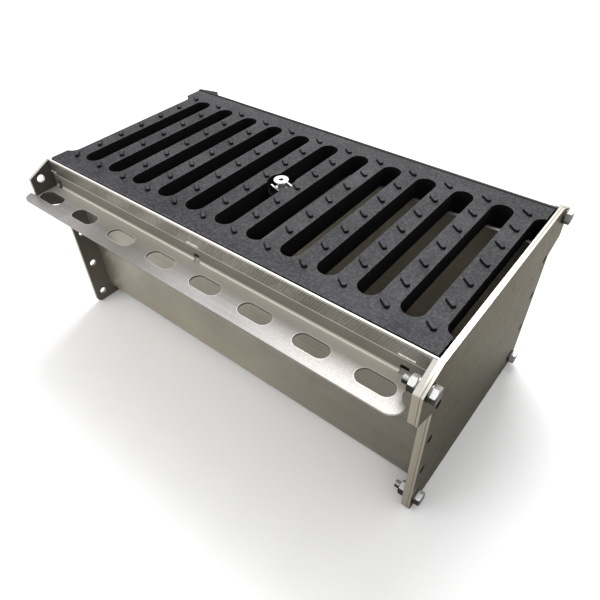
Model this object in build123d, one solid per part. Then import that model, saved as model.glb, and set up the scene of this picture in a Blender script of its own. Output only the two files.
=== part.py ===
from build123d import *
import os

# A steel drainage channel section with a slotted cast grating, sizes in millimetres.
# X runs along the channel, Y across it and Z up. Pieces are drawn down from the walking level
# at Z = 0, and saved standing on the trough's underside, so that its centre is the origin.

# Folded trough
channel_length = 500
inner_width = 196
channel_height = 222
sheet = 2
trough_bend = 22
seat_depth = 31
seat_width = 20.5
seat_bend = 2
hem_depth = 16
hem_edge_share = 0.9

# Slotted anchor strips along both rims
strip_sheet = 2
strip_bend = 2
strip_level = 33
strip_reach = 40.5
strip_slot_count = 8
strip_slot_length = 36
strip_slot_width = 17
strip_corner = 12
strip_joint_gap = 1
strip_end_gap = 3
strip_relief = 11
strip_gap = 0.3

# Notches through the foot of each rim
notch_width = 8
notch_height = 7
notch_end_distance = 17.5
cutter_margin = 1

# End flanges and the end plate
flange_thickness = 4
plate_thickness = 5
tab_reach = 27.5
tab_drop = 13
tab_height = 35
tab_slope = 10
tab_corner = 1.5
gusset_reach = 24
foot_reach = 26
foot_corner = 8
gusset_fillet = 5
flange_foot_overlap = 14
flange_hole = 9
flange_hole_offset = 14
flange_hole_count = 4
foot_hole_height = 14.5
top_hole_depth = 57.5
tab_hole_offset = 15.5
tab_hole_depth = 17

# Cast grating
grating_end_gap = 2
grating_side_gap = 1
slot_width = 22
slot_length = 190
bar_count = 12
slot_draft = 4
bar_depth = 24
seat_land = 15
grating_top_bevel = 1
grating_foot_bevel = 2.5
stud_rows = 7
stud_pitch = 31.5
stud_length = 13
stud_width = 5.5
stud_height = 2.5
stud_crown = 1.4
stud_turn = -36
stud_draft = 40
lock_well = 30
lock_bridge_depth = 11
bar_recess_gap = 1

# Lock in the middle of the grating
lock_screw = 8
lock_screw_length = 46
lock_screw_rise = 2
lock_head = 16
lock_head_land = 0.8
lock_socket = 5
lock_socket_depth = 3.5
lock_clearance = 1
crossbar_thickness = 5
tongue_gap = 0.5
tongue_end_gap = 0.2
saddle_length = 18
saddle_width = 16
saddle_thickness = 2
saddle_lip = 4
saddle_turn = -18

# Fasteners
end_screw = 8
end_screw_length = 25
end_head_height = 5.3
hex_across = 13
nut_height = 6.5
washer_diameter = 16
washer_thickness = 1.6
washer_clearance = 0.4
thread_gap = 0.1

# Values that follow from the ones above
wall_outer = inner_width / 2 + sheet
rim_inner = inner_width / 2 + seat_width
rim_outer = rim_inner + sheet
hem_outer = rim_outer + sheet
end_x = channel_length / 2
flange_x = end_x - flange_thickness
hole_y = wall_outer + flange_hole_offset
tab_hole_y = hem_outer + tab_hole_offset
foot_hole_z = foot_hole_height - channel_height
flange_hole_pitch = (-top_hole_depth - foot_hole_z) / (flange_hole_count - 1)
hole_levels = [foot_hole_z + flange_hole_pitch * i for i in range(flange_hole_count)]
slot_pitch = channel_length / bar_count
grating_length = channel_length - 2 * grating_end_gap
grating_width = 2 * (rim_inner - grating_side_gap)
strip_slot_pitch = channel_length / strip_slot_count
strip_half = (channel_length - strip_joint_gap) / 2
strip_shift = strip_half + strip_end_gap - flange_x
notch_reach = strip_half - notch_end_distance
tongue_width = notch_width - 2 * tongue_gap
crossbar_half = strip_shift + tongue_width / 2
crossbar_top = crossbar_thickness - seat_depth
sides = (1, -1)


def outline(corners):
    """A closed face through (y, z, radius) corners, each rounded by its own radius."""
    face = make_face(Polyline(*[(y, z) for y, z, r in corners], close=True))
    for y, z, r in corners:
        if r > 0:
            face = fillet(face.vertices().sort_by_distance(Vector(y, z))[0], r)
    return face


def both_sides(half):
    """The corners of a profile that is the same on both sides of the middle."""
    return half + [(-y, z, r) for y, z, r in reversed(half)]


def along_x(face, start, length):
    """A profile in Y and Z, drawn out along X from start."""
    return extrude(Plane.YZ.offset(start) * face, amount=length)


def block(x, y, z):
    """A box between pairs of limits on each axis."""
    size = Box(x[1] - x[0], y[1] - y[0], z[1] - z[0])
    return Pos((x[0] + x[1]) / 2, (y[0] + y[1]) / 2, (z[0] + z[1]) / 2) * size


def rod(x, y, start, end, radius):
    """An upright cylinder between two levels."""
    return Pos(x, y, (start + end) / 2) * Cylinder(radius, end - start)


def cross_rod(x_start, x_end, y, z, radius):
    """A cylinder along X at one place in Y and Z."""
    place = Pos((x_start + x_end) / 2, y, z) * Rot(0, 90, 0)
    return place * Cylinder(radius, x_end - x_start)


def save(part, name):
    """Writes one piece, or a group of like pieces, under its own name."""
    solids = part if isinstance(part, list) else part.solids()
    solids = [Pos(0, 0, channel_height) * solid for solid in solids]
    part = solids[0] if len(solids) == 1 else Compound(children=solids)
    part.label = name
    export_step(part, f"parts/{name}.step")


def trough_outside():
    """The outside of the trough with its seat ledges, rims and hems, as one filled profile."""
    half = [
        (wall_outer, -channel_height, trough_bend + sheet),
        (wall_outer, -seat_depth - sheet, seat_bend),
        (rim_outer, -seat_depth - sheet, seat_bend + sheet),
        (rim_outer, -hem_depth, 0),
        (hem_outer, -hem_depth, 0),
        (hem_outer, 0, 0),
    ]
    return outline(both_sides(half))


def trough_inside():
    """The open space inside the trough, from its floor to above the walking level."""
    half = [
        (inner_width / 2, sheet - channel_height, trough_bend),
        (inner_width / 2, -seat_depth, seat_bend + sheet),
        (rim_inner, -seat_depth, seat_bend),
        (rim_inner, seat_depth, 0),
    ]
    return outline(both_sides(half))


def notch_places():
    """Where the notches stand along the rim: near both ends and at the middle of the strip."""
    return [place - strip_shift for place in (-notch_reach, 0, notch_reach)]


def rim_notches(y_start, y_end, z_start, z_end):
    """The notch cutters of both rims between two distances from the middle."""
    cutters = []
    for x in notch_places():
        span = (x - notch_width / 2, x + notch_width / 2)
        for side in sides:
            reach = sorted((side * y_start, side * y_end))
            cutters.append(block(span, reach, (z_start, z_end)))
    return cutters


def channel_body():
    """Trough, seat ledges, rims and closed hems, folded from one sheet."""
    section = trough_outside() - trough_inside()
    hem_edges = section.vertices().group_by(Axis.Y)[-1]
    section = fillet(hem_edges, sheet * hem_edge_share)
    body = along_x(section, -end_x, channel_length)
    notch_top = notch_height - seat_depth
    return body - rim_notches(rim_inner - seat_bend, rim_outer + cutter_margin, -seat_depth, notch_top)


def anchor_strip(side):
    """A folded angle: one leg lies on the rim below the hem, the slotted leg stands outward.

    Its outer margin runs on past the left flange, to meet the strip of the next channel.
    """
    top = -hem_depth - strip_gap
    leg_outer = rim_outer + strip_sheet
    outer = leg_outer + strip_reach
    low = -strip_level - strip_sheet
    corners = [
        (rim_outer, top, 0),
        (rim_outer, low, strip_bend + strip_sheet),
        (outer, low, 0),
        (outer, -strip_level, 0),
        (leg_outer, -strip_level, strip_bend),
        (leg_outer, top, 0),
    ]
    left = -strip_half - strip_shift
    strip = along_x(outline(corners), left, 2 * strip_half)
    free_corners = strip.edges().filter_by(Axis.Z).sort_by(Axis.Y)[-2:]
    strip = fillet(free_corners, strip_corner)
    slot_y = leg_outer + strip_reach / 2
    slot = SlotOverall(strip_slot_length, strip_slot_width)
    for i in range(strip_slot_count):
        x = strip_slot_pitch * (i - (strip_slot_count - 1) / 2) - strip_shift
        strip -= Pos(x, slot_y, low) * extrude(slot, amount=strip_sheet)
    notch_top = notch_height - seat_depth
    for x in notch_places():
        span = (x - notch_width / 2, x + notch_width / 2)
        strip -= block(span, (rim_outer, leg_outer + strip_bend), (low, notch_top))
    strip -= block((left, strip_gap - flange_x), (rim_outer, hem_outer + tab_reach + strip_gap), (low, top))
    strip -= rod(flange_x, tab_hole_y, low, -strip_level, strip_relief)
    return strip if side > 0 else mirror(strip, Plane.XZ)


def flange_half():
    """The corners of one side of a flange: tab on top, gusset edge and foot below."""
    tab_y = hem_outer + tab_reach
    return [
        (wall_outer + foot_reach, -channel_height, foot_corner),
        (wall_outer + gusset_reach, -tab_drop - tab_height - tab_slope, gusset_fillet),
        (tab_y, -tab_drop - tab_height, tab_corner),
        (tab_y, -tab_drop, tab_corner),
        (hem_outer, 0, 0),
    ]


def flange_holes(x_start, x_end, side):
    """The cutters of one side's holes: a line down the gusset and one in the tab."""
    radius = flange_hole / 2
    holes = [cross_rod(x_start, x_end, side * hole_y, z, radius) for z in hole_levels]
    holes.append(cross_rod(x_start, x_end, side * tab_hole_y, -tab_hole_depth, radius))
    return holes


def end_flange(end, side):
    """A plate welded round the outside of one wall at one end of the trough."""
    inner_foot = wall_outer - flange_foot_overlap
    corners = [(inner_foot, 0, 0), (inner_foot, -channel_height, 0)] + flange_half()
    face = outline(corners) - trough_outside()
    face = face.faces().sort_by(Axis.X)[-1]
    start = flange_x if end > 0 else -end_x
    plate = along_x(face, start, flange_thickness) - flange_holes(start, start + flange_thickness, 1)
    return plate if side > 0 else mirror(plate, Plane.XZ)


def end_plate():
    """The plate that closes one end, with the outline of both flanges and the trough."""
    face = outline(both_sides(flange_half()))
    plate = along_x(face, end_x, plate_thickness)
    for side in sides:
        plate -= flange_holes(end_x, end_x + plate_thickness, side)
    return plate


def slot_cutter(x):
    """A slot with draft, so that it widens downwards as a casting's does."""
    face = Pos(x, 0, 0) * Rot(0, 0, 90) * SlotOverall(slot_length, slot_width)
    return extrude(face, amount=-seat_depth, taper=-slot_draft)


def stud():
    """A raised oblong tread stud with a bevelled crown, turned across the bar."""
    face = Rot(0, 0, stud_turn) * SlotOverall(stud_length, stud_width)
    base = extrude(face, amount=stud_height - stud_crown)
    crown = extrude(Pos(0, 0, stud_height - stud_crown) * face, amount=stud_crown, taper=stud_draft)
    return base + crown


def grating():
    """Deep bars between drafted slots, on seat lands at both long edges, with tread studs."""
    x = (-grating_length / 2, grating_length / 2)
    y = (-grating_width / 2, grating_width / 2)
    casting = block(x, y, (-seat_depth, 0))
    edges = casting.edges().filter_by(Axis.X).group_by(Axis.Z)
    casting = chamfer(edges[-1], grating_top_bevel)
    edges = casting.edges().filter_by(Axis.X).group_by(Axis.Z)
    casting = chamfer(edges[0], grating_foot_bevel)
    land = grating_width / 2 - seat_land
    casting -= block(x, (-land, land), (-seat_depth, -bar_depth))
    casting -= [slot_cutter(slot_pitch * (i - bar_count / 2)) for i in range(bar_count + 1)]
    casting -= rod(0, 0, -seat_depth, 0, lock_well / 2)
    casting += rod(0, 0, -bar_depth, -lock_bridge_depth, lock_well / 2)
    casting -= rod(0, 0, -seat_depth, 0, (lock_screw + lock_clearance) / 2)
    recess = crossbar_half + bar_recess_gap
    casting -= block((-recess, recess), y, (-seat_depth, crossbar_top + bar_recess_gap))
    bars = GridLocations(slot_pitch, stud_pitch, bar_count, stud_rows)
    return casting + [place * stud() for place in bars]


def lock_crossbar():
    """A flat bar on both seat ledges, with a tongue at one edge for the notch of each rim."""
    top = crossbar_top
    shoulder = rim_inner - seat_bend - grating_side_gap
    tip = rim_outer - tongue_end_gap
    bar = block((-crossbar_half, crossbar_half), (-shoulder, shoulder), (-seat_depth, top))
    tongue = (-crossbar_half, tongue_width - crossbar_half)
    bar += block(tongue, (-tip, tip), (-seat_depth, top))
    return bar - rod(0, 0, -seat_depth, top, (lock_screw + lock_clearance) / 2)


def lock_saddle():
    """A folded clip under the screw's head, with a lip turned up along two edges.

    It turned a little with the screw as that was drawn tight.
    """
    base = -lock_bridge_depth
    x = (-saddle_width / 2, saddle_width / 2)
    half = saddle_length / 2
    clip = block(x, (-half, half), (base, base + saddle_thickness + saddle_lip))
    inside = half - saddle_thickness
    clip -= block(x, (-inside, inside), (base + saddle_thickness, 0))
    clip -= rod(0, 0, base, 0, (lock_screw + lock_clearance) / 2)
    return Rot(0, 0, saddle_turn) * clip


def lock_screw_body():
    """A countersunk socket screw whose head stands a little above the grating."""
    top = lock_screw_rise
    cone = (lock_head - lock_screw) / 2
    land = top - lock_head_land
    screw = rod(0, 0, top - lock_screw_length, top, lock_screw / 2)
    screw += rod(0, 0, land, top, lock_head / 2)
    screw += Pos(0, 0, land - cone / 2) * Cone(lock_screw / 2, lock_head / 2, cone)
    key = RegularPolygon(lock_socket / 2, 6, major_radius=False)
    return screw - Pos(0, 0, top) * extrude(key, amount=-lock_socket_depth)


def hex_nut(bore):
    """A plain hexagon nut standing on the ground plane."""
    face = RegularPolygon(hex_across / 2, 6, major_radius=False) - Circle(bore / 2)
    return extrude(face, amount=nut_height)


def washer(bore):
    """A flat round washer standing on the ground plane."""
    return extrude(Circle(washer_diameter / 2) - Circle(bore / 2), amount=washer_thickness)


def hex_screw():
    """A hexagon head screw, its shank along +Z from under the head at the ground plane."""
    head = extrude(RegularPolygon(hex_across / 2, 6, major_radius=False), amount=-end_head_height)
    return head + rod(0, 0, 0, end_screw_length, end_screw / 2)


def at_end_holes(piece, x, toward):
    """A copy of a piece at each bolted hole, its Z axis turned along X."""
    turn = Rot(0, 90 * toward, 0)
    places = [(side * tab_hole_y, -tab_hole_depth) for side in sides]
    places += [(side * hole_y, foot_hole_z) for side in sides]
    return [(Pos(x, y, z) * turn * piece).solids()[0] for y, z in places]


os.makedirs("parts", exist_ok=True)

save(channel_body(), "channel_body")
save(grating(), "grating")
save(end_plate(), "end_plate")

for side, side_name in ((-1, "front"), (1, "rear")):
    save(anchor_strip(side), f"{side_name}_anchor_strip")
    for end, end_name in ((-1, "left"), (1, "right")):
        save(end_flange(end, side), f"{end_name}_{side_name}_flange")

save(lock_crossbar(), "lock_crossbar")
save(lock_saddle(), "lock_saddle")
save(lock_screw_body(), "lock_screw")
save(Pos(0, 0, -seat_depth - nut_height) * hex_nut(lock_screw + thread_gap), "lock_nut")

outside_x = end_x + plate_thickness
hole = end_screw + washer_clearance
save(at_end_holes(hex_screw(), outside_x + washer_thickness, -1), "end_screws")
save(at_end_holes(washer(hole), outside_x, 1), "end_head_washers")
save(at_end_holes(washer(hole), flange_x, -1), "end_nut_washers")
save(at_end_holes(hex_nut(end_screw + thread_gap), flange_x - washer_thickness, -1), "end_nuts")
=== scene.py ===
# A drainage channel section in folded steel with a cast slotted grating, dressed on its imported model.
# Everything is in metres: the trough stands on the floor and X runs along the channel.
import math

import bmesh
import bpy
from mathutils import Matrix, Vector


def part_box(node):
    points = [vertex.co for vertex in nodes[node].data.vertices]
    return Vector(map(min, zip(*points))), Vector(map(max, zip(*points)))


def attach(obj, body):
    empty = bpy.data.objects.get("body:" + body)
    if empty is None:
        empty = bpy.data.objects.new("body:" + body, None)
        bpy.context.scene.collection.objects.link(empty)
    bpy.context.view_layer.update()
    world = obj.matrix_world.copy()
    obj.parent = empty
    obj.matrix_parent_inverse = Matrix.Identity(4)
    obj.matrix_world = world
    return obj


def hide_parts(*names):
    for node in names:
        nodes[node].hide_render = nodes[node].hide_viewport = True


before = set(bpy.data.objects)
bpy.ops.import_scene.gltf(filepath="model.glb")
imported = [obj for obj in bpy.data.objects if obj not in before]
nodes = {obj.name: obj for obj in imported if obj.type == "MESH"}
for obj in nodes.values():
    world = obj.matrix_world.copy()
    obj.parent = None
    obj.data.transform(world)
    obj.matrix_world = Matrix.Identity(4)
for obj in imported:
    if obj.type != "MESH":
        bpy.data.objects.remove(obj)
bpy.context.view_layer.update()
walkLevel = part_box("channel_body")[1].z  # the rims' top, level with the casting's upper face
print("model loaded:", len(nodes), "nodes")


class Wire:  # one socket in a node tree; arithmetic on it adds Math nodes
    def __init__(self, tree, socket=None):
        self.tree = tree
        self.socket = socket

    def add(self, kind, settings=None, values=None, out=0):
        node = self.tree.nodes.new(kind)
        for name, value in (settings or {}).items():
            setattr(node, name, value)
        for name, value in (values or {}).items():
            if isinstance(value, Wire):
                self.tree.links.new(value.socket, node.inputs[name])
            else:
                node.inputs[name].default_value = value
        return Wire(self.tree, node.outputs[out] if len(node.outputs) else None)

    def math(self, operation, *values):
        return self.add("ShaderNodeMath", {"operation": operation}, dict(enumerate(values)))

    def mix(self, factor, first, second):  # a colour between two
        first = first if isinstance(first, Wire) else (*first, 1)
        second = second if isinstance(second, Wire) else (*second, 1)
        values = {0: factor, 6: first, 7: second}
        return self.add("ShaderNodeMix", {"data_type": "RGBA"}, values, out=2)

    def between(self, start, end, soft=None):
        # 0 at start and 1 at end, whichever is higher; with soft, 1 from start to end with soft sides
        if soft:
            return self.between(start - soft, start + soft) * self.between(end + soft, end - soft)
        values = {0: self, 1: start, 2: end, 3: 0.0, 4: 1.0}
        return self.add("ShaderNodeMapRange", {"interpolation_type": "SMOOTHSTEP"}, values)

    def noise(self, where, scale, detail, roughness):
        values = {"Vector": where, "Scale": scale, "Detail": detail, "Roughness": roughness}
        return self.add("ShaderNodeTexNoise", {}, values)

    def bump(self, strength, distance, height):
        values = {"Strength": strength, "Distance": distance, "Height": height}
        return self.add("ShaderNodeBump", {}, values)

    def point(self, x=0.0, y=0.0, z=0.0):
        return self.add("ShaderNodeCombineXYZ", {}, {0: x, 1: y, 2: z})

    def __add__(self, other):
        return self.math("ADD", self, other)

    def __sub__(self, other):
        return self.math("SUBTRACT", self, other)

    def __rsub__(self, other):
        return self.math("SUBTRACT", other, self)

    def __mul__(self, other):
        return self.math("MULTIPLY", self, other)

    def __abs__(self):
        return self.math("ABSOLUTE", self)

    __radd__ = __add__
    __rmul__ = __mul__


def newMaterial(name):  # the material, a wire to build from, its shader and its Object coordinates
    material = bpy.data.materials.new(name)
    material.use_nodes = True
    tree = material.node_tree
    shader = tree.nodes["Principled BSDF"]
    wire = Wire(tree)
    place = wire.add("ShaderNodeTexCoord", out=3)
    return material, wire, shader, place


def feed(wire, shader, values):  # values or links for the shader's own sockets
    for name, value in values.items():
        if isinstance(value, Wire):
            wire.tree.links.new(value.socket, shader.inputs[name])
        else:
            shader.inputs[name].default_value = value


def stretched(wire, place, scale):  # coordinates drawn out along one axis, for brushed streaks
    return wire.add("ShaderNodeMapping", {}, {"Vector": place, "Scale": scale})


def coordinates(wire, place):  # the three numbers of a position or a direction
    node = wire.add("ShaderNodeSeparateXYZ", {}, {0: place}).socket.node
    return [Wire(wire.tree, socket) for socket in node.outputs]


def facing(wire):  # the surface's own normal, as three numbers
    return coordinates(wire, wire.add("ShaderNodeNewGeometry", out=1))


def measured(wire, place):  # what the limits of a sheet's layers are read on
    x, y, z = coordinates(wire, place)
    upward = facing(wire)[2]
    return {"along": x, "rearward": y, "outward": abs(y), "height": z, "upward": upward}


def painted(wire, colour, layers, spots):
    # lays each layer's colour over the last, with its share where all of its limits hold
    for layer in layers.values():
        mask = layer["share"]
        for name, spot in spots.items():
            if name in layer:
                mask = spot.between(*layer[name]) * mask
        colour = wire.mix(mask, colour, layer["colour"])
    return colour


# a near-black painted shade, laid where shade falls on the sheets and in the strip's slots
paintedShade = (0.03, 0.03, 0.028)
# the sheet's own brown, also laid on the strip's leg as a painted shade
brownSteelAndShade = (0.155, 0.143, 0.118)
# a painted highlight, laid on bends, edges and the rims of the strip's slots
paintedHighlight = (0.90, 0.89, 0.86)

millFinish = {  # what the rolled sheets share; a band is the stretch of noise in which a mark fades in
    "cloudScale": 9.0,
    "cloudBand": (0.36, 0.66),
    "streakScale": (2.5, 260.0, 260.0),
    "streakContrast": 1.1,
    "streakShare": 0.2,
    "scuffsPerCloud": 6,
    "scuffBand": (0.54, 0.72),
    "scuffShare": 0.25,
    "grainScale": 900.0,
    "roughness": 0.38,
    "grainDulling": 0.18,
    "scuffDulling": 0.1,
    "streakDulling": 0.14,
    "metallic": 0.85,
    "bumpStrength": 0.4,
    "bumpDepth": 0.00012,
    "streakRelief": 0.6,
    "grainRelief": 0.4,
}


def rolledSheet(wire, place, look):
    # the mill finish of every sheet: clouds, rolling streaks, fine grain and small scuffs
    clouds = wire.noise(place, look["cloudScale"], detail=4.0, roughness=0.6).between(*look["cloudBand"])
    streaks = wire.noise(stretched(wire, place, look["streakScale"]), 1.0, detail=3.0, roughness=0.7)
    grain = wire.noise(place, look["grainScale"], detail=2.0, roughness=0.6)
    scuffScale = look["cloudScale"] * look["scuffsPerCloud"]
    scuffs = wire.noise(place, scuffScale, detail=5.0, roughness=0.7).between(*look["scuffBand"])
    colour = wire.mix(clouds, look["cloudColour"], look["colour"])
    streaked = (streaks - 0.5) * look["streakContrast"] + look["streakShare"]
    colour = wire.mix(streaked, colour, look["grazeColour"])
    colour = wire.mix(scuffs * look["scuffShare"], colour, look["grazeColour"])
    rough = look["roughness"] + (grain - 0.5) * look["grainDulling"] + scuffs * look["scuffDulling"]
    rough = rough + (streaks - 0.5) * look["streakDulling"]
    relief = streaks * look["streakRelief"] + grain * look["grainRelief"]
    return colour, rough, wire.bump(look["bumpStrength"], look["bumpDepth"], relief)


outerFace = (0.0975, 0.0995)  # off the middle line, over the wall's thickness: 1 on the outer face
innerFace = (0.0995, 0.0975)  # and 1 on the inner face

troughSheet = {
    **millFinish,
    "colour": (0.43, 0.395, 0.325),
    "cloudColour": (0.33, 0.30, 0.245),
    "grazeColour": (0.58, 0.55, 0.48),
    "hemMarks": {
        "colour": (0.52, 0.49, 0.43),
        "slant": 0.55,
        "pitch": 0.0026,
        "scale": (950.0, 950.0, 110.0),
        "band": (0.42, 0.64),
        "tickShare": 0.35,
        "ribShare": 0.4,
        "marked": (-0.25, -0.05),
        # painted highlight that lightens the hem towards its right end
        "lightened": (0.12, 0.23),
        "rightHighlightShare": 0.5,
    },
    "layers": {
        "rim": {"colour": (0.17, 0.16, 0.138), "share": 0.85, "height": (0.178, 0.2)},
        "hem": {"colour": (0.26, 0.245, 0.212), "share": 0.9, "height": (0.2055, 0.2062)},
        # painted highlight along the hem's top edge
        "hemTopHighlight": {
            "colour": (0.95, 0.94, 0.92),
            "share": 1.0,
            "height": (0.2213, 0.2219),
            "upward": (0.8, 0.97),
        },
        "inside": {"colour": (0.40, 0.385, 0.345), "share": 0.85, "outward": innerFace},
        # painted shade inside the trough towards the end plate
        "insideEndShade": {"colour": paintedShade, "share": 0.7, "outward": innerFace, "along": (0.19, 0.245)},
        # painted shade on the outer wall, darker towards the right end
        "outsideEndShade": {"colour": paintedShade, "share": 0.4, "outward": outerFace, "along": (-0.02, 0.25)},
        "lowWall": {
            "colour": (0.68, 0.625, 0.51),
            "share": 0.55,
            "outward": outerFace,
            "along": (0.16, -0.06),
            "height": (0.10, 0.01),
        },
        # painted shade on the rear rim's top
        "rearTopShade": {"colour": paintedShade, "share": 1.0, "rearward": (0.10, 0.12), "height": (0.2185, 0.2200)},
        # painted highlight along the seat bend
        "seatBendHighlight": {
            "colour": (0.95, 0.93, 0.87),
            "share": 1.0,
            "upward": (0.25, 0.93, 0.05),
            "height": (0.180, 0.1925, 0.001),
        },
    },
}


def hemColour(wire, place, along, plain, marks):
    # the hem's slanted press marks, which fade out to the left, and a painted highlight that lightens its
    # right end
    turn = (0.0, -marks["slant"], 0.0)
    slanted = wire.add("ShaderNodeMapping", {}, {"Vector": place, "Rotation": turn})
    drawnOut = stretched(wire, slanted, marks["scale"])
    ticks = wire.noise(drawnOut, 1.0, detail=1.0, roughness=0.5).between(*marks["band"])
    wave = coordinates(wire, slanted)[0] * (2 * math.pi / marks["pitch"])
    ribs = wire.math("SINE", wave) * 0.5 + 0.5
    bright = (ticks * marks["tickShare"] + ribs * marks["ribShare"]) * along.between(*marks["marked"])
    bright = bright + along.between(*marks["lightened"]) * marks["rightHighlightShare"]
    return wire.mix(bright, plain, marks["colour"])


def troughMaterial(name, look):
    # warm sheet below, greyer towards the rim, with painted highlights along each seat bend and the hem's
    # top, and painted shade towards the right end and on the rear rim's top
    material, wire, shader, place = newMaterial(name)
    colour, rough, bump = rolledSheet(wire, place, look)
    spots = measured(wire, place)
    hem = look["layers"]["hem"]
    marked = hemColour(wire, place, spots["along"], hem["colour"], look["hemMarks"])
    layers = {**look["layers"], "hem": {**hem, "colour": marked}}
    colour = painted(wire, colour, layers, spots)
    feed(wire, shader, {"Base Color": colour, "Roughness": rough, "Normal": bump})
    feed(wire, shader, {"Metallic": look["metallic"]})
    return material


stripSlots = {  # the strip's row of long slots, and how far their eased lip reaches past the hole
    "centre": -0.03775,
    "pitch": 0.0625,
    "run": 0.019,
    "radius": 0.0085,
    "line": 0.14275,
    "lip": (0.0012, 0.0006),
}
slotLip = tuple(stripSlots["radius"] + reach for reach in stripSlots["lip"])
byWall = (0.147, 0.125)  # off the middle line: 1 at the wall, 0 at the strip's slots

stripSheet = {
    **millFinish,
    "colour": (0.37, 0.357, 0.36),
    "cloudColour": (0.27, 0.262, 0.26),
    "grazeColour": (0.50, 0.49, 0.49),
    "roughness": 0.46,
    "metallic": 0.7,
    "wallDulling": 0.6,
    "endDulling": 0.25,
    "dullEnd": (0.05, 0.2),
    "sandScale": 620.0,
    "layers": {
        # painted highlight, lighter towards the right end
        "end": {"colour": (0.55, 0.52, 0.49), "share": 0.7, "along": (0.02, 0.25)},
        "middle": {"colour": brownSteelAndShade, "share": 0.7, "along": (-0.13, -0.04, 0.05)},
        "sand": {"colour": brownSteelAndShade, "share": 0.3, "sand": (0.36, 0.66)},
        # painted reflection of the wall, brownish next to it
        "byWall": {"colour": (0.60, 0.56, 0.475), "share": 0.8, "outward": byWall},
        # painted shade on the strip's upright leg
        "legShade": {"colour": brownSteelAndShade, "share": 0.9, "height": (0.1915, 0.1930)},
        # painted highlight along the leg's top edge
        "legTopHighlight": {"colour": paintedHighlight, "share": 0.55, "height": (0.2046, 0.2052)},
        # painted highlight along the bend
        "bendHighlight": {
            "colour": paintedHighlight,
            "share": 0.6,
            "upward": (0.35, 0.8, 0.06),
            "height": (0.186, 0.1915, 0.001),
        },
        # painted highlight on the rims round the slots
        "slotLip": {"colour": paintedHighlight, "share": 0.28, "fromSlot": slotLip, "upward": (0.1, 0.6)},
        # painted shade on the slots' walls
        "slotWallShade": {"colour": paintedShade, "share": 0.9, "fromSlot": slotLip, "upward": (0.6, 0.1)},
    },
}


def fromSlot(wire, along, outward):  # how far a spot is from the middle line of the nearest slot
    beside = wire.math("PINGPONG", along - stripSlots["centre"], stripSlots["pitch"] / 2)
    pastRun = wire.math("MAXIMUM", beside - stripSlots["run"] / 2, 0.0)
    offLine = outward - stripSlots["line"]
    return wire.math("SQRT", pastRun * pastRun + offLine * offLine)


def stripMaterial(name, look):
    # cooler sheet with a painted brownish reflection of the wall next to it, painted highlights along its
    # bend, its leg's top, round its slots and towards its right end, and painted shade on its leg and in
    # its slots
    material, wire, shader, place = newMaterial(name)
    colour, rough, bump = rolledSheet(wire, place, look)
    spots = measured(wire, place)
    spots["sand"] = wire.noise(place, look["sandScale"], detail=2.0, roughness=0.7)
    spots["fromSlot"] = fromSlot(wire, spots["along"], spots["outward"])
    colour = painted(wire, colour, look["layers"], spots)
    nearWall = spots["outward"].between(*byWall) * look["wallDulling"]
    nearEnd = spots["along"].between(*look["dullEnd"]) * look["endDulling"]
    metallic = look["metallic"] - wire.math("MAXIMUM", nearWall, nearEnd)
    feed(wire, shader, {"Base Color": colour, "Roughness": rough, "Normal": bump, "Metallic": metallic})
    return material


plateSheet = {
    **millFinish,
    "colour": (0.058, 0.056, 0.038),
    "cloudColour": (0.042, 0.038, 0.028),
    "grazeColour": (0.095, 0.093, 0.076),
    "cloudScale": 12.0,
    "streakScale": (260.0, 2.5, 260.0),
    "oilScale": (1.0, 9.0, 5.0),
    "roughness": 0.42,
    "grazingTint": (1.0, 0.955, 0.83, 1.0),
    "layers": {
        "oil": {"colour": (0.038, 0.031, 0.021), "share": 0.75, "oil": (0.42, 0.62)},
        "grey": {
            "colour": (0.046, 0.048, 0.042),
            "share": 0.8,
            "rearward": (-0.07, 0.03),
            "height": (0.17, 0.09),
        },
        # on the end plate, a painted shade that darkens it towards the bottom
        "low": {"colour": (0.036, 0.033, 0.028), "share": 0.75, "height": (0.19, 0.0)},
    },
    "cut": {
        "colour": (0.46, 0.42, 0.34),
        # upward faces of the cut edges lighter: a painted highlight
        "topHighlight": (0.66, 0.635, 0.58),
        "topHighlightFacing": (0.3, 0.6),
        "sideways": (0.8, 0.35),
        "outward": (0.1190, 0.1215),
        "height": (0.2185, 0.2200),
        "stripeScale": (4.0, 700.0, 700.0),
        "stripeBand": (0.35, 0.65),
        "stripeShare": 0.3,
        # the end plate's cut edges darker along the middle of their thickness
        "edgeMiddleColour": (0.20, 0.19, 0.16),
        "edgeMiddle": (0.2519, 0.2530, 0.0003),
        "edgeMiddleShare": 0.75,
    },
}
plateLayers = plateSheet["layers"]
flangeSheet = {
    **plateSheet,
    "colour": (0.145, 0.143, 0.138),
    "cloudColour": (0.110, 0.107, 0.100),
    "grazingTint": (1.0, 1.0, 1.0, 1.0),
    "layers": {**plateLayers, "low": {**plateLayers["low"], "colour": (0.215, 0.195, 0.170)}},
}


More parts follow.
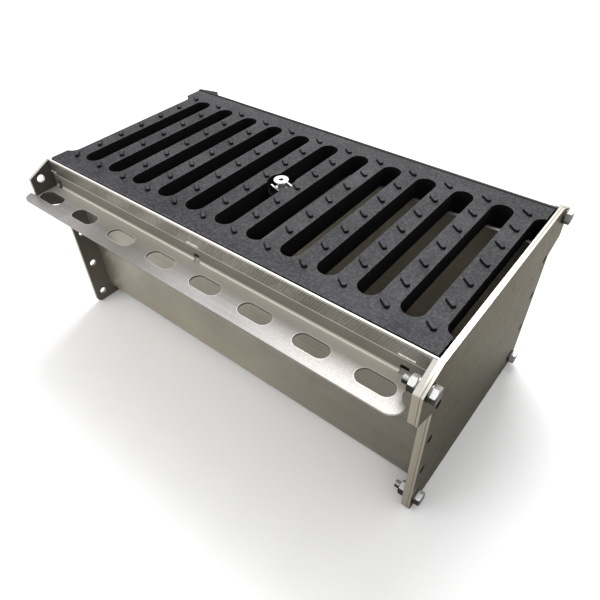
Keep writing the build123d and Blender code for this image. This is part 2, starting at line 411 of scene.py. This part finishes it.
def plateMaterial(name, look):
    # thicker plate, oily in patches and, on the end plate, painted darker towards the bottom as shade,
    # with bright cut edges that the cutting left finely striped, lighter still on their upward faces as a
    # painted highlight, and the end plate's edges darker along the middle of their thickness
    material, wire, shader, place = newMaterial(name)
    colour, rough, bump = rolledSheet(wire, place, look)
    spots = measured(wire, place)
    spots["oil"] = wire.noise(stretched(wire, place, look["oilScale"]), 1.0, detail=3.0, roughness=0.55)
    colour = painted(wire, colour, look["layers"], spots)
    cut = look["cut"]
    side = spots["outward"].between(*cut["outward"])
    outer = wire.math("MAXIMUM", side, spots["height"].between(*cut["height"]))
    edge = abs(facing(wire)[0]).between(*cut["sideways"]) * outer
    stripes = wire.noise(stretched(wire, place, cut["stripeScale"]), 1.0, detail=2.0, roughness=0.5)
    striped = stripes.between(*cut["stripeBand"]) * cut["stripeShare"]
    edgeMiddle = spots["along"].between(*cut["edgeMiddle"]) * cut["edgeMiddleShare"]
    cutColour = wire.mix(spots["upward"].between(*cut["topHighlightFacing"]), cut["colour"], cut["topHighlight"])
    cutColour = wire.mix(striped, cutColour, cut["colour"])
    cutColour = wire.mix(edgeMiddle, cutColour, cut["edgeMiddleColour"])
    colour = wire.mix(edge, colour, cutColour)
    feed(wire, shader, {"Base Color": colour, "Roughness": rough, "Normal": bump})
    feed(wire, shader, {"Metallic": look["metallic"], "Specular Tint": look["grazingTint"]})
    return material


castIron = {  # heights are above the walking face
    "colour": (0.0075, 0.0078, 0.0100),
    "dustColour": (0.092, 0.093, 0.102),
    "wearAndHighlightColour": (0.15, 0.15, 0.155),
    "deepShadeColour": (0.0012, 0.0012, 0.0015),
    "sheen": 0.18,
    "roughness": 0.52,
    "pebbleScale": 420.0,
    "pebbleDulling": 0.4,
    "bumpStrength": 0.7,
    "bumpDepth": 0.0005,
    "cloudScale": 14.0,
    "cloudBand": (0.35, 0.7),
    "cloudShare": 0.2,
    "cloudPolish": 0.06,
    "speckleScale": 924.0,
    "speckleBand": (0.48, 0.70),
    "speckleShare": 0.3,
    "mottleScale": 430.0,
    "mottleBand": (0.40, 0.66),
    "mottleShare": 0.55,
    "wearAndHighlightFacing": (0.45, 0.97, 0.03),
    "wearAndHighlightHeight": (-0.0015, 0.0003, 0.0003),
    "wearAndHighlightShare": 0.3,
    "wearAndHighlightMottle": 0.6,
    "wallFacing": (0.45, 0.25),
    "studFacing": (0.8, 0.6),
    "studHeight": (0.0002, 0.0005),
    "deepHeight": (-0.0015, -0.004),
    "deepShare": 0.95,
    "deepDulling": 0.4,
}


def castMaterial(name, look):
    # dipped casting: pebbled skin, dusty clouds, edges lighter from wear and a painted highlight, and
    # steep faces, stud sides and the slots' depths painted nearly black as shade
    material, wire, shader, place = newMaterial(name)
    height = coordinates(wire, place)[2] - walkLevel
    upward = facing(wire)[2]
    pebbles = wire.noise(place, look["pebbleScale"], detail=4.0, roughness=0.65)
    clouds = wire.noise(place, look["cloudScale"], detail=4.0, roughness=0.6).between(*look["cloudBand"])
    speckle = wire.noise(place, look["speckleScale"], detail=3.0, roughness=0.7)
    speckle = speckle.between(*look["speckleBand"])
    mottle = wire.noise(place, look["mottleScale"], detail=3.0, roughness=0.8).between(*look["mottleBand"])
    dust = clouds * look["cloudShare"] + speckle * look["speckleShare"] + mottle * look["mottleShare"]
    colour = wire.mix(dust, look["colour"], look["dustColour"])
    # the slot edges lighter, partly from wear and partly as a painted highlight
    lightened = upward.between(*look["wearAndHighlightFacing"]) * height.between(*look["wearAndHighlightHeight"])
    lightened = lightened * (mottle * look["wearAndHighlightMottle"] + look["wearAndHighlightShare"])
    colour = wire.mix(lightened, colour, look["wearAndHighlightColour"])
    # painted shade: steep faces, stud sides and the slots' depths nearly black
    studSides = height.between(*look["studHeight"]) * upward.between(*look["studFacing"])
    steep = wire.math("MAXIMUM", upward.between(*look["wallFacing"]), studSides)
    deep = wire.math("MAXIMUM", steep, height.between(*look["deepHeight"]))
    colour = wire.mix(deep * look["deepShare"], colour, look["deepShadeColour"])
    rough = look["roughness"] + (pebbles - 0.5) * look["pebbleDulling"]
    rough = rough - clouds * look["cloudPolish"] + deep * look["deepDulling"]
    bump = wire.bump(look["bumpStrength"], look["bumpDepth"], pebbles)
    feed(wire, shader, {"Base Color": colour, "Roughness": rough, "Normal": bump, "Metallic": 0.0})
    feed(wire, shader, {"Specular IOR Level": look["sheen"]})
    return material


zincPlating = {
    "colour": (0.90, 0.90, 0.89),
    "dullColour": (0.66, 0.66, 0.65),
    "dullScale": 105.0,
    "dullBand": (0.4, 0.7),
    "dullShare": 0.6,
    "dullRoughness": 0.14,
    "shadeColour": (0.045, 0.046, 0.045),
    "shade": 1.0,
    "shadeFacing": (0.7, 0.25),
    "grainScale": 700.0,
    "grainRoughness": 0.1,
    "bumpStrength": 0.25,
    "bumpDepth": 0.0001,
    "roughness": 0.28,
    "metallic": 0.8,
}
lockPlating = {
    **zincPlating,
    "shade": 0.5,
    "shadeColour": (0.16, 0.155, 0.145),
    "socketRadius": (0.0030, 0.0028),
    "socketHeight": (0.2238, 0.2232),
    "socketShade": 0.9,
}
washerPlating = {**zincPlating, "colour": (0.22, 0.22, 0.21), "dullColour": (0.15, 0.15, 0.14)}


def zincMaterial(name, look):
    # bright plating, dull in patches, with painted shade on the sides that face away from up and down in a
    # driving socket
    material, wire, shader, place = newMaterial(name)
    grain = wire.noise(place, look["grainScale"], detail=3.0, roughness=0.6)
    dull = wire.noise(place, look["dullScale"], detail=3.0, roughness=0.6).between(*look["dullBand"])
    # painted shade on faces that turn away from up
    sides = facing(wire)[2].between(*look["shadeFacing"])
    colour = wire.mix(dull * look["dullShare"], look["colour"], look["dullColour"])
    colour = wire.mix(sides * look["shade"], colour, look["shadeColour"])
    if "socketRadius" in look:
        # painted shade down in the driving socket
        x, y, z = coordinates(wire, place)
        reach = wire.math("SQRT", x * x + y * y)
        socket = reach.between(*look["socketRadius"]) * z.between(*look["socketHeight"])
        colour = wire.mix(socket * look["socketShade"], colour, look["shadeColour"])
    bump = wire.bump(look["bumpStrength"], look["bumpDepth"], grain)
    rough = look["roughness"] + dull * look["dullRoughness"] + (grain - 0.5) * look["grainRoughness"]
    feed(wire, shader, {"Base Color": colour, "Roughness": rough, "Normal": bump})
    feed(wire, shader, {"Metallic": look["metallic"]})
    return material


weldBead = {
    "colour": (0.86, 0.84, 0.78),
    "heatColour": (0.50, 0.44, 0.36),
    "heatBand": (0.45, 0.8),
    "rippleScale": 500.0,
    "roughness": 0.3,
    "rippleDulling": 0.2,
    "metallic": 0.7,
}


def weldMaterial(name, look):
    material, wire, shader, place = newMaterial(name)
    ripple = wire.noise(place, look["rippleScale"], detail=3.0, roughness=0.6)
    colour = wire.mix(ripple.between(*look["heatBand"]), look["colour"], look["heatColour"])
    rough = look["roughness"] + ripple * look["rippleDulling"]
    feed(wire, shader, {"Base Color": colour, "Roughness": rough, "Metallic": look["metallic"]})
    return material


troughSteel = troughMaterial("troughSteel", troughSheet)
stripSteel = stripMaterial("stripSteel", stripSheet)
plateSteel = plateMaterial("plateSteel", plateSheet)
flangeSteel = plateMaterial("flangeSteel", flangeSheet)
gratingIron = castMaterial("gratingIron", castIron)
zinc = zincMaterial("zincPlated", zincPlating)
lockZinc = zincMaterial("lockZinc", lockPlating)
washerZinc = zincMaterial("washerZinc", washerPlating)
weldMetal = weldMaterial("weldMetal", weldBead)

finishes = {
    "channel_body": troughSteel,
    "front_anchor_strip": stripSteel,
    "rear_anchor_strip": stripSteel,
    "end_plate": plateSteel,
    "left_front_flange": flangeSteel,
    "left_rear_flange": flangeSteel,
    "right_front_flange": flangeSteel,
    "right_rear_flange": flangeSteel,
    "grating": gratingIron,
}
for nodeName, node in nodes.items():
    node.data.materials.clear()
    node.data.materials.append(finishes.get(nodeName, zinc))
print("finishes set on the model")


edgeFinish = {  # how a node's mesh is cleaned and its edges are eased
    "mergeDistance": 2e-6,
    "flatAngle": math.radians(0.4),
    "edgeAngle": math.radians(35),
    "flatWeight": 100,
    "steps": 2,
}


def newPiece(name, mesh, material):  # a finished piece at the origin, on the fixed body
    piece = bpy.data.objects.new(name, mesh)
    bpy.context.scene.collection.objects.link(piece)
    mesh.materials.clear()
    mesh.materials.append(material)
    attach(piece, "root")
    return piece


def cleanCopy(nodeName):  # a node's mesh with its doubles merged
    work = bmesh.new()
    work.from_mesh(nodes[nodeName].data)
    bmesh.ops.remove_doubles(work, verts=work.verts, dist=edgeFinish["mergeDistance"])
    return work


def wholeFaces(work, name):  # a mesh whose flat faces aren't cut into triangles
    angle = edgeFinish["flatAngle"]
    bmesh.ops.dissolve_limit(work, angle_limit=angle, verts=work.verts, edges=work.edges)
    mesh = bpy.data.meshes.new(name)
    work.to_mesh(mesh)
    work.free()
    return mesh


def evaluatedMesh(piece):  # the piece's shape with its modifiers applied
    graph = bpy.context.evaluated_depsgraph_get()
    return bpy.data.meshes.new_from_object(piece.evaluated_get(graph), depsgraph=graph)


def roundEdges(piece, width, steps, clamped=True):
    bevel = piece.modifiers.new("edgeRounding", "BEVEL")
    bevel.width = width
    bevel.segments = steps
    bevel.limit_method = "ANGLE"
    bevel.angle_limit = edgeFinish["edgeAngle"]
    bevel.use_clamp_overlap = clamped
    bevel.loop_slide = clamped
    for face in piece.data.polygons:
        face.use_smooth = True
    weighting = piece.modifiers.new("flatFaces", "WEIGHTED_NORMAL")
    weighting.weight = edgeFinish["flatWeight"]
    weighting.keep_sharp = True
    mesh = evaluatedMesh(piece)
    piece.modifiers.clear()
    piece.data = mesh


casting = {"edgeRadius": 0.00065, "edgeSteps": 3, "studFoot": 2e-5}


def castGrating():
    # the casting without its studs, with rounded edges at every slot
    work = cleanCopy("grating")
    foot = walkLevel + casting["studFoot"]
    raised = [face for face in work.faces if any(vert.co.z > foot for vert in face.verts)]
    bmesh.ops.delete(work, geom=raised, context="FACES")
    openEdges = [edge for edge in work.edges if edge.is_boundary]
    bmesh.ops.holes_fill(work, edges=openEdges, sides=0)
    piece = newPiece("castGrating", wholeFaces(work, "castGrating"), gratingIron)
    # the rounding runs over the slots' many short sides, which clamping would reduce to nothing
    roundEdges(piece, casting["edgeRadius"], casting["edgeSteps"], clamped=False)
    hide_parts("grating")


castGrating()
print("grating cast")


def growTree(name, sizes):  # a Geometry Nodes tree with a named input for each size
    tree = bpy.data.node_groups.new(name, "GeometryNodeTree")
    tree.interface.new_socket("Points", in_out="INPUT", socket_type="NodeSocketGeometry")
    tree.interface.new_socket("Result", in_out="OUTPUT", socket_type="NodeSocketGeometry")
    kinds = {int: "NodeSocketInt", float: "NodeSocketFloat"}
    for label, value in sizes.items():
        kind = kinds.get(type(value), "NodeSocketObject")
        socket = tree.interface.new_socket(label, in_out="INPUT", socket_type=kind)
        if type(value) in kinds:
            socket.default_value = value
    start = tree.nodes.new("NodeGroupInput")
    wires = {socket.name: Wire(tree, socket) for socket in start.outputs if socket.name}
    return tree, Wire(tree), wires


def endTree(wire, shape, material, smooth=True):  # the tree's last nodes: real geometry with its finish
    shape = wire.add("GeometryNodeRealizeInstances", {}, {0: shape})
    shape = wire.add("GeometryNodeSetShadeSmooth", {}, {"Geometry": shape, "Shade Smooth": smooth})
    shape = wire.add("GeometryNodeSetMaterial", {}, {"Geometry": shape, "Material": material})
    wire.add("NodeGroupOutput", {}, {0: shape})


def growPiece(name, tree, points, sizes, material):  # runs a tree on points, as a plain mesh
    seedMesh = bpy.data.meshes.new(name + "Points")
    seedMesh.from_pydata(points, [], [])
    grower = bpy.data.objects.new(name + "Grower", seedMesh)
    bpy.context.scene.collection.objects.link(grower)
    modifier = grower.modifiers.new("grow", "NODES")
    modifier.node_group = tree
    for item in tree.interface.items_tree:
        if item.item_type == "SOCKET" and item.in_out == "INPUT" and item.name in sizes:
            modifier[item.identifier] = sizes[item.name]
    mesh = evaluatedMesh(grower)
    mesh.name = name
    bpy.data.objects.remove(grower)
    return newPiece(name, mesh, material)


treadStuds = {
    "Length": 0.013,
    "Width": 0.0055,
    "Height": 0.0025,
    "Sunk": 0.0004,
    "Shoulder": 0.32,
    "Draft": 0.2,
    "Turn": math.radians(-36),
    "Columns": 12,
    "Rows": 7,
    "Column Pitch": 0.5 / 12,
    "Row Pitch": 0.0315,
    "Level": walkLevel,
}
studFacets = {"Segments": 20, "Rings": 12, "Radius": 1.0}


def studTree(sizes):
    # a pill with steep sides, round shoulders and a flat top, repeated over the bars
    tree, wire, size = growTree("treadStudTree", sizes)
    ball = wire.add("GeometryNodeMeshUVSphere", {}, studFacets)
    x, y, z = coordinates(wire, wire.add("GeometryNodeInputPosition"))
    half = size["Width"] * 0.5
    run = (size["Length"] - size["Width"]) * 0.5
    lift = wire.math("POWER", wire.math("MAXIMUM", z, 0.0), size["Shoulder"])
    foot = wire.math("MINIMUM", z, 0.0) * size["Sunk"]
    reach = wire.math("MAXIMUM", wire.math("SQRT", x * x + y * y), 0.001)  # never 0 at the poles
    spread = wire.math("POWER", reach, size["Shoulder"] - 1) * (1 - lift * size["Draft"]) * half
    ends = wire.math("SIGN", x) * run
    moved = wire.point(x * spread + ends, y * spread, lift * size["Height"] + foot)
    stud = wire.add("GeometryNodeSetPosition", {}, {"Geometry": ball, "Position": moved})
    layout = {
        "Size X": size["Column Pitch"] * (size["Columns"] - 1),
        "Size Y": size["Row Pitch"] * (size["Rows"] - 1),
        "Vertices X": size["Columns"],
        "Vertices Y": size["Rows"],
    }
    grid = wire.add("GeometryNodeMeshGrid", {}, layout)
    turned = {"Points": grid, "Instance": stud, "Rotation": wire.point(z=size["Turn"])}
    studs = wire.add("GeometryNodeInstanceOnPoints", {}, turned)
    raised = {"Geometry": studs, "Translation": wire.point(z=size["Level"])}
    endTree(wire, wire.add("GeometryNodeTransform", {}, raised), gratingIron)
    return tree


growPiece("treadStuds", studTree(treadStuds), [(0, 0, 0)], treadStuds, gratingIron)
print("tread studs grown")


seamWelds = {
    "Bead Length": 0.015,
    "Bead Width": 0.0022,
    "Ripple Pitch": 0.0008,
    "Least Swell": 0.82,
    "Most Swell": 1.12,
    "Seed": 4,
}
rippleShape = {"reach": 1.15, "depth": 0.38, "height": 0.5}  # half sizes, as shares of pitch and width
weldRow = {"stitches": (-0.2445, -0.009, 0.2265), "belowRim": 0.0138, "proud": 0.0001}


def weldTree(sizes):
    # a bead of overlapping ripples along X at every point
    tree, wire, size = growTree("seamWeldTree", sizes)
    count = wire.math("ROUND", wire.math("DIVIDE", size["Bead Length"], size["Ripple Pitch"]))
    step = wire.point(x=size["Ripple Pitch"])
    back = wire.point(x=size["Bead Length"] * -0.5)
    line = wire.add("GeometryNodeMeshLine", {}, {"Count": count, "Start Location": back, "Offset": step})
    ball = wire.add("GeometryNodeMeshIcoSphere", {}, {"Radius": 1.0, "Subdivisions": 2})
    ripple = wire.point(
        size["Ripple Pitch"] * rippleShape["reach"],
        size["Bead Width"] * rippleShape["depth"],
        size["Bead Width"] * rippleShape["height"],
    )
    drop = wire.add("GeometryNodeTransform", {}, {"Geometry": ball, "Scale": ripple})
    chance = {2: size["Least Swell"], 3: size["Most Swell"], "Seed": size["Seed"]}
    swell = wire.add("FunctionNodeRandomValue", {"data_type": "FLOAT"}, chance, out=1)
    bead = wire.add("GeometryNodeInstanceOnPoints", {}, {"Points": line, "Instance": drop, "Scale": swell})
    bead = wire.add("GeometryNodeRealizeInstances", {}, {0: bead})
    beads = wire.add("GeometryNodeInstanceOnPoints", {}, {"Points": size["Points"], "Instance": bead})
    endTree(wire, beads, weldMetal)
    return tree


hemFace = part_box("channel_body")[1].y + weldRow["proud"]
weldHeight = walkLevel - weldRow["belowRim"]
weldPoints = [(x, side * hemFace, weldHeight) for x in weldRow["stitches"] for side in (1, -1)]
growPiece("seamWelds", weldTree(seamWelds), weldPoints, seamWelds, weldMetal)
print("seam welds laid")


hexagon = {
    "across": 0.013,
    "headHeight": 0.0053,
    "nutBore": 0.0041,
    "chamfer": 0.94,
    "chamferAngle": math.radians(30),
    "steps": 10,
}
thread = {"crest": 0.00398, "root": 0.00340, "pitch": 0.00125, "sides": 28, "underHead": 0.0003}


def hexRadius(angle, across):  # the outline of a hexagon, measured from its middle
    turned = (angle + math.pi / 6) % (math.pi / 3) - math.pi / 6
    return across / 2 / math.cos(turned)


def onCircle(radius, share, level):  # a point at this share of a full turn about Z
    angle = 2 * math.pi * share
    return (radius * math.cos(angle), radius * math.sin(angle), level)


def hexRing(work, level, lean, trimmed):
    # one ring of a hexagon prism: lean tips its corners up or down, and trimmed cuts them to a circle
    sides = 6 * hexagon["steps"]
    circle = hexagon["across"] / 2 * hexagon["chamfer"]
    ring = []
    for step in range(sides):
        full = hexRadius(2 * math.pi * step / sides, hexagon["across"])
        slope = max(0.0, full - circle) * math.tan(hexagon["chamferAngle"])
        radius = min(full, circle) if trimmed else full
        ring.append(work.verts.new(onCircle(radius, step / sides, level + lean * slope)))
    return ring


def hexBlank(height, bore=0.0):
    # a chamfered prism from z 0 up: a nut bored through and chamfered twice, or a screw's head
    work = bmesh.new()
    sides = 6 * hexagon["steps"]
    if bore:
        rings = [hexRing(work, 0.0, 0, True), hexRing(work, 0.0, 1, False)]
    else:
        rings = [hexRing(work, 0.0, 0, False)]
    rings += [hexRing(work, height, -1, False), hexRing(work, height, 0, True)]
    if bore:
        top = [work.verts.new(onCircle(bore, step / sides, height)) for step in range(sides)]
        foot = [work.verts.new(onCircle(bore, step / sides, 0.0)) for step in range(sides)]
        rings = [foot, *rings, top, foot]
    for lower, upper in zip(rings, rings[1:]):
        for step in range(sides):
            after = (step + 1) % sides
            work.faces.new((lower[step], lower[after], upper[after], upper[step]))
    if not bore:
        work.faces.new(rings[-1])
        work.faces.new(list(reversed(rings[0])))
    return work


def addThread(work, start, end):
    # one helical ridge between two levels, closed at both ends
    sides = thread["sides"]
    rows = int((end - start) / thread["pitch"]) * 2 - 2
    grid = []
    for row in range(rows + 2):
        radius = thread["crest"] if row % 2 else thread["root"]
        levels = [start + (row / 2 + step / sides) * thread["pitch"] for step in range(sides)]
        points = [onCircle(radius, step / sides, level) for step, level in enumerate(levels)]
        grid.append([work.verts.new(point) for point in points])
    for row in range(rows - 1):
        low, high = grid[row], grid[row + 1]
        for step in range(sides - 1):
            work.faces.new((low[step], low[step + 1], high[step + 1], high[step]))
        work.faces.new((low[-1], grid[row + 2][0], grid[row + 3][0], high[-1]))
    work.faces.new(list(reversed(grid[0])))
    work.faces.new(grid[rows - 1])


def blankObject(name, work):
    bmesh.ops.recalc_face_normals(work, faces=work.faces)
    mesh = bpy.data.meshes.new(name)
    work.to_mesh(mesh)
    work.free()
    blank = bpy.data.objects.new(name, mesh)
    bpy.context.scene.collection.objects.link(blank)
    return blank


placing = {"Piece": None, "Turn": math.pi / 2, "Spin": math.radians(50), "Seed": 7}
nutSeed = 11


def placeTree(sizes):
    # a blank at every point, turned to lie along X and spun about its own axis by chance
    tree, wire, size = growTree("placeTree", sizes)
    info = wire.add("GeometryNodeObjectInfo", {}, {"Object": size["Piece"]}, out=4)
    chance = {2: 0.0, 3: size["Spin"], "Seed": size["Seed"]}
    spun = wire.add("FunctionNodeRandomValue", {"data_type": "FLOAT"}, chance, out=1)
    turned = {"Points": size["Points"], "Instance": info, "Rotation": wire.point(y=size["Turn"])}
    shown = wire.add("GeometryNodeInstanceOnPoints", {}, turned)
    spin = {"Instances": shown, "Rotation": wire.point(z=spun), "Local Space": True}
    shown = wire.add("GeometryNodeRotateInstances", {}, spin)
    endTree(wire, shown, zinc, smooth=False)
    return tree


def solidBoxes(nodeName):  # the lowest and highest corner of each separate solid in a grouped node
    work = cleanCopy(nodeName)
    boxes = []
    left = set(work.verts)
    while left:
        group, border = set(), [next(iter(left))]
        while border:
            vert = border.pop()
            if vert in group:
                continue
            group.add(vert)
            border += [link.other_vert(vert) for link in vert.link_edges]
        left -= group
        low = Vector(min(vert.co[axis] for vert in group) for axis in range(3))
        high = Vector(max(vert.co[axis] for vert in group) for axis in range(3))
        boxes.append((low, high))
    work.free()
    return sorted(boxes, key=lambda box: tuple(round(number, 5) for number in box[0]))


placer = placeTree(placing)

screwBoxes = solidBoxes("end_screws")
screwLow, screwHigh = screwBoxes[0]
headSeat = screwHigh.x - hexagon["headHeight"]
screwWork = hexBlank(hexagon["headHeight"])
addThread(screwWork, screwLow.x - headSeat, -thread["underHead"])
screwBlank = blankObject("screwBlank", screwWork)
screwSizes = {**placing, "Piece": screwBlank}
screwPoints = [(headSeat, (low.y + high.y) / 2, (low.z + high.z) / 2) for low, high in screwBoxes]
endScrews = growPiece("endScrews", placer, screwPoints, screwSizes, zinc)
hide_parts("end_screws")

nutBoxes = solidBoxes("end_nuts")
nutLow, nutHigh = nutBoxes[0]
nutBlank = blankObject("nutBlank", hexBlank(nutHigh.x - nutLow.x, hexagon["nutBore"]))
nutSizes = {**placing, "Piece": nutBlank, "Seed": nutSeed}
nutPoints = [(low.x, (low.y + high.y) / 2, (low.z + high.z) / 2) for low, high in nutBoxes]
endNuts = growPiece("endNuts", placer, nutPoints, nutSizes, zinc)
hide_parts("end_nuts")
for blank in (screwBlank, nutBlank):
    bpy.data.objects.remove(blank)
print("screws and nuts placed")


roundedParts = {  # node, edge radius, finish and slot of each piece that only needs its edges eased
    "lockScrew": ("lock_screw", 0.0004, lockZinc, "zinc_fasteners"),
    "lockSaddle": ("lock_saddle", 0.0004, zinc, "zinc_fasteners"),
    "lockCrossbar": ("lock_crossbar", 0.0005, washerZinc, "zinc_fasteners"),
    "headWashers": ("end_head_washers", 0.00025, washerZinc, "zinc_fasteners"),
    "nutWashers": ("end_nut_washers", 0.00025, washerZinc, "zinc_fasteners"),
    "endPlate": ("end_plate", 0.0005, plateSteel, "plate_steel"),
    "leftFrontFlange": ("left_front_flange", 0.0004, flangeSteel, "plate_steel"),
    "leftRearFlange": ("left_rear_flange", 0.0004, flangeSteel, "plate_steel"),
    "rightFrontFlange": ("right_front_flange", 0.0004, flangeSteel, "plate_steel"),
    "rightRearFlange": ("right_rear_flange", 0.0004, flangeSteel, "plate_steel"),
    "frontAnchorStrip": ("front_anchor_strip", 0.0003, stripSteel, "trough_steel"),
    "rearAnchorStrip": ("rear_anchor_strip", 0.0003, stripSteel, "trough_steel"),
}
for pieceName, (nodeName, radius, finish, slotName) in roundedParts.items():
    piece = newPiece(pieceName, wholeFaces(cleanCopy(nodeName), pieceName), finish)
    roundEdges(piece, radius, edgeFinish["steps"])
    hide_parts(nodeName)
print("plates, strips, lock and washers rounded")


studio = {
    "floorColour": (0.80, 0.80, 0.79),
    "floorReach": 9,
    "cameraFloor": 1.18,
    "worldColour": (1, 1, 1, 1),
    "worldLight": 0.72,
    "lampAim": (0, 0, 0.15),
    "lamps": {
        "keyLight": {"power": 17.0, "place": (-0.25, 0.75, 1.4), "size": 0.8},
        "fillLight": {"power": 7.0, "place": (-1.0, -1.4, 0.8), "size": 1.2},
    },
}


def seen(wire):  # 1 for rays from the camera, and 1 for all rays that show the background
    path = wire.add("ShaderNodeLightPath").socket.node
    names = ("Is Camera Ray", "Is Glossy Ray", "Is Transmission Ray")
    rays = [Wire(wire.tree, path.outputs[name]) for name in names]
    return rays[0], wire.math("MINIMUM", rays[0] + rays[1] + rays[2], 1.0)


def makeWorld():
    world = bpy.data.worlds.new("studioWorld")
    bpy.context.scene.world = world
    world.use_nodes = True
    wire = Wire(world.node_tree)
    shown = seen(wire)[1]
    light = studio["worldLight"] + shown * (1 - studio["worldLight"])
    background = world.node_tree.nodes["Background"]
    feed(wire, background, {"Color": studio["worldColour"], "Strength": light})


def makeFloor():
    mesh = bpy.data.meshes.new("studioFloor")
    work = bmesh.new()
    bmesh.ops.create_grid(work, x_segments=1, y_segments=1, size=studio["floorReach"])
    work.to_mesh(mesh)
    work.free()
    floor = bpy.data.objects.new("studioFloor", mesh)
    bpy.context.scene.collection.objects.link(floor)
    material = bpy.data.materials.new("paleFloor")
    material.use_nodes = True
    tree = material.node_tree
    tree.nodes.remove(tree.nodes["Principled BSDF"])
    wire = Wire(tree)
    colour = wire.mix(seen(wire)[0], studio["floorColour"], (studio["cameraFloor"],) * 3)
    matt = wire.add("ShaderNodeBsdfDiffuse", {}, {"Color": colour})
    tree.links.new(matt.socket, tree.nodes["Material Output"].inputs["Surface"])
    mesh.materials.append(material)


def makeLamps():
    for name, lamp in studio["lamps"].items():
        light = bpy.data.lights.new(name, "AREA")
        light.energy = lamp["power"]
        light.size = lamp["size"]
        holder = bpy.data.objects.new(name, light)
        bpy.context.scene.collection.objects.link(holder)
        aim = Vector(studio["lampAim"]) - Vector(lamp["place"])
        turn = aim.to_track_quat("-Z", "Y").to_matrix().to_4x4()
        holder.matrix_world = Matrix.Translation(lamp["place"]) @ turn


makeWorld()
makeFloor()
makeLamps()

cameraFit = {  # the photograph's view, fitted to the slots, rims and plate corners
    "place": (0.3368, -0.3793, 0.5229),
    "azimuth": 39.84,
    "elevation": 43.11,
    "roll": -1.94,
    "lens": 32.61,
    "sensor": 36,
    "nearest": 0.01,
}


def makeCamera(fit):
    azimuth, elevation, roll = (math.radians(fit[key]) for key in ("azimuth", "elevation", "roll"))
    level = math.cos(elevation)
    back = Vector((math.sin(azimuth) * level, -math.cos(azimuth) * level, math.sin(elevation)))
    right = (-back).cross(Vector((0, 0, 1))).normalized()
    upward = right.cross(-back)
    turnedRight = math.cos(roll) * right + math.sin(roll) * upward
    turnedUp = math.cos(roll) * upward - math.sin(roll) * right
    data = bpy.data.cameras.new("photoCamera")
    data.sensor_fit = "HORIZONTAL"
    data.sensor_width = fit["sensor"]
    data.lens = fit["lens"]
    data.clip_start = fit["nearest"]
    camera = bpy.data.objects.new("photoCamera", data)
    bpy.context.scene.collection.objects.link(camera)
    turn = Matrix((turnedRight, turnedUp, back)).transposed().to_4x4()
    camera.matrix_world = Matrix.Translation(fit["place"]) @ turn
    bpy.context.scene.camera = camera


makeCamera(cameraFit)
bpy.context.scene.view_settings.view_transform = "Standard"
print("studio and camera ready")
